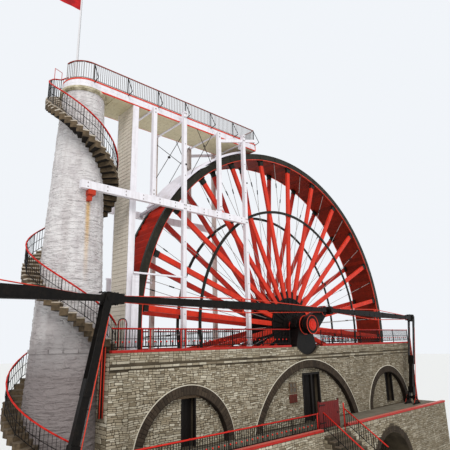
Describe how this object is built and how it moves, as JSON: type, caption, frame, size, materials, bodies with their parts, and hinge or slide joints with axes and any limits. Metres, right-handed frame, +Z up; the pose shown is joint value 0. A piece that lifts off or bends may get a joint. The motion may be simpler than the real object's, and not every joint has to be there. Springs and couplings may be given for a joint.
{
  "type": "water wheel",
  "caption": "Tall spoked pumping water wheel in a masonry wheel case, with round tower, outside stair, aqueduct, crank, rods and rockers",
  "frame": {"origin": "on the ground face, straight below the middle of the axle", "axes": "+X along the building away from the tower, +Y away from the crank side, +Z up"},
  "size_m": [30.3801, 9.322, 29.15],
  "materials": {
    "rubble_masonry": "coursed rubble with dark joints",
    "arch_stone": "dark dressed ring stones",
    "limewashed_stone": "rubble under old limewash",
    "cornice_stone": "dressed stone",
    "step_stone": "stone step blocks",
    "red_board": "gloss paint",
    "rail_iron": "black paint with red top rail",
    "deck_board": "weathered boards",
    "white_timber": "white painted timber",
    "black_iron": "black paint, greasy",
    "red_iron": "red paint",
    "red_timber": "red painted timber",
    "shroud_iron": "black green paint",
    "sole_board": "dark red painted boards",
    "bucket_board": "red painted boards",
    "tie_steel": "grey paint",
    "black_timber": "black painted timber",
    "flag_cloth": "plain cloth"
  },
  "bodies": {
    "root": {"front_wall": "rubble_masonry", "arch_rings": "arch_stone", "back_wall": "rubble_masonry", "left_end_wall": "rubble_masonry", "right_end_wall": "rubble_masonry", "pit_floor": "rubble_masonry", "terrace": "rubble_masonry", "tower_plinth": "rubble_masonry", "wall_coping": "red_board", "front_railing": "rail_iron", "back_railing": "rail_iron", "terrace_railing": "rail_iron", "terrace_coping": "red_board", "terrace_steps": "step_stone", "terrace_step_rails": "rail_iron", "terrace_gate": "red_iron", "tower": "limewashed_stone", "tower_cornice": "cornice_stone", "lower_flight": "step_stone", "middle_flight": "step_stone", "upper_flight": "step_stone", "lower_stair_rail": "rail_iron", "upper_stair_rail": "rail_iron", "deck": "deck_board", "side_boards": "white_timber", "deck_railing": "rail_iron", "deck_bearers": "white_timber", "drop_screen": "white_timber", "wheel_screens": "white_timber", "apron_launder": "white_timber", "front_posts": "white_timber", "back_posts": "white_timber", "side_beams": "white_timber", "beam_bracket": "red_iron", "tie_rods": "black_iron", "axle_bearings": "black_iron", "flagpole": "white_timber", "flag": "flag_cloth", "left_guide_post": "black_iron", "right_guide_post": "black_iron", "left_rocker_stand": "black_iron", "right_rocker_stand": "black_iron"},
    "wheel": {"axle": "red_iron", "hubs": "black_iron", "front_spokes": "red_timber", "back_spokes": "red_timber", "bracing_rings": "black_iron", "front_shroud": "shroud_iron", "back_shroud": "shroud_iron", "sole": "sole_board", "buckets": "bucket_board", "spoke_ties": "tie_steel", "crank": "black_iron"},
    "main_rod_line": {"main_rod": "black_timber", "drive_rod": "black_timber"},
    "right_rod_line": {"right_rod": "black_timber"},
    "left_rocker_beam": {"left_rocker": "black_timber"},
    "right_rocker_beam": {"right_rocker": "black_timber"}
  },
  "joints": [
    {"name": "wheel_turn", "type": "hinge", "parent": "root", "child": "wheel", "pos_m": [0, 0, 11.75], "axis": [0, 1, 0], "continuous": true},
    {"name": "main_rod_pin", "type": "hinge", "parent": "wheel", "child": "main_rod_line", "pos_m": [1.29994, -3, 12.59419], "axis": [0, 1, 0], "continuous": true},
    {"name": "right_rod_pin", "type": "hinge", "parent": "wheel", "child": "right_rod_line", "pos_m": [1.29994, -3, 12.59419], "axis": [0, 1, 0], "continuous": true},
    {"name": "left_rocker_swing", "type": "hinge", "parent": "root", "child": "left_rocker_beam", "pos_m": [-14.61585, -3, 6.8], "axis": [0, 1, 0], "range_deg": [-28, 2.5]},
    {"name": "right_rocker_swing", "type": "hinge", "parent": "root", "child": "right_rocker_beam", "pos_m": [10.51461, -3, 6.8], "axis": [0, 1, 0], "range_deg": [-29, 2.6]}
  ],
  "couplings": [
    {"joint": "main_rod_pin", "follows": "wheel_turn", "ratio": -1},
    {"joint": "right_rod_pin", "follows": "wheel_turn", "ratio": -1}
  ]
}
